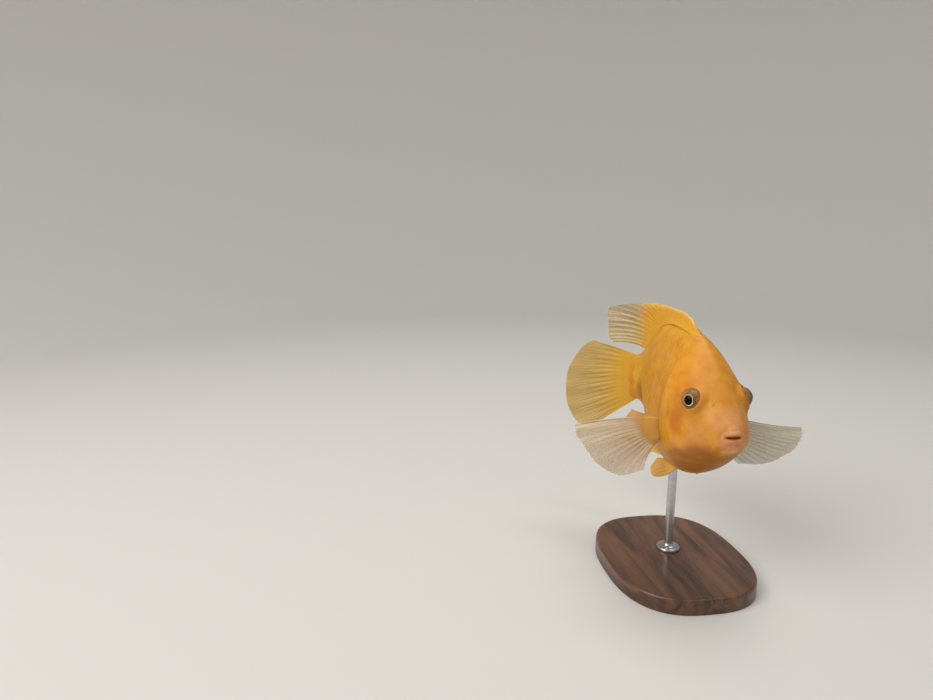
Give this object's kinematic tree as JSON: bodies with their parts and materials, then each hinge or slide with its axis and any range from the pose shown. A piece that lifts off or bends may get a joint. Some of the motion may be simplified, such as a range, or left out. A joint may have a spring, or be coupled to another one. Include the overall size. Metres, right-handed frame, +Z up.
{
  "type": "blood parrot cichlid model",
  "caption": "Life-size still model of a blood parrot cichlid: deep rounded orange body, small beak-like mouth, rayed fins spread and tail swung aside, on a rod and base.",
  "frame": {"origin": "centre of the underside of the stand's base", "axes": "+Z up; the fish's head points towards -Y, its left side is towards +X, and its tail swings towards -X"},
  "size_m": [0.1381, 0.1463, 0.1576],
  "materials": {
    "skin": "smooth amber-orange skin with a soft wet gloss",
    "fin": "thin pale-yellow rayed membrane, amber at the root",
    "eye": "clear glossy cornea over an olive iris and black pupil",
    "stand_wood": "dark satin wood",
    "stand_metal": "brushed steel"
  },
  "bodies": {
    "root": {"head": "skin", "trunk": "skin", "tail_stalk": "skin", "eye_left": "eye", "eye_right": "eye", "dorsal_fin": "fin", "anal_fin": "fin", "caudal_fin": "fin", "pectoral_fin_left": "fin", "pectoral_fin_right": "fin", "pelvic_fin_left": "fin", "pelvic_fin_right": "fin", "stand_base": "stand_wood", "stand_rod": "stand_metal"}
  },
  "joints": []
}
